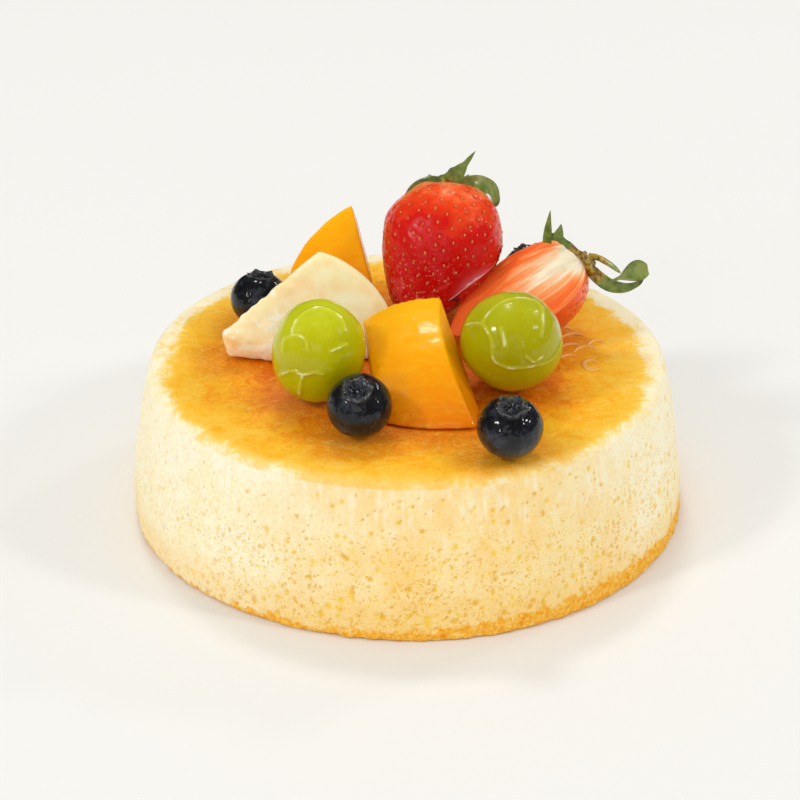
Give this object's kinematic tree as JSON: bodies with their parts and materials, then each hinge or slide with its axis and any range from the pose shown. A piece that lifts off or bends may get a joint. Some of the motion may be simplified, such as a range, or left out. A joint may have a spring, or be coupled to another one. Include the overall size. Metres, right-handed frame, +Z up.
{
  "type": "fruit-topped cheesecake",
  "caption": "Round jiggly souffle cheesecake with a browned top, finished with glazed strawberries, peach, pear, grapes and blueberries.",
  "frame": {"origin": "middle of the cake's foot, on the surface that it stands on", "axes": "+Z up, +X to the right when looking at the front; the front, with the peach chunk and two blueberries, faces -Y"},
  "size_m": [0.1434, 0.1426, 0.0833],
  "materials": {
    "cake": "matte sponge, browned on top",
    "peach": "glazed",
    "pear": "glazed",
    "grape": "glazed",
    "strawberry": "glazed",
    "cut_strawberry": "glazed",
    "leaf": "fresh green",
    "blueberry": "glazed"
  },
  "bodies": {
    "root": {"cake": "cake", "peach_front": "peach", "pear": "pear", "peach_back": "peach", "grape_left": "grape", "grape_right": "grape", "strawberry_whole": "strawberry", "strawberry_whole_cap": "leaf", "strawberry_half": "cut_strawberry", "strawberry_half_cap": "leaf", "blueberry_front_left": "blueberry", "blueberry_front_right": "blueberry", "blueberry_back_left": "blueberry", "blueberry_back_right": "blueberry"}
  },
  "joints": []
}
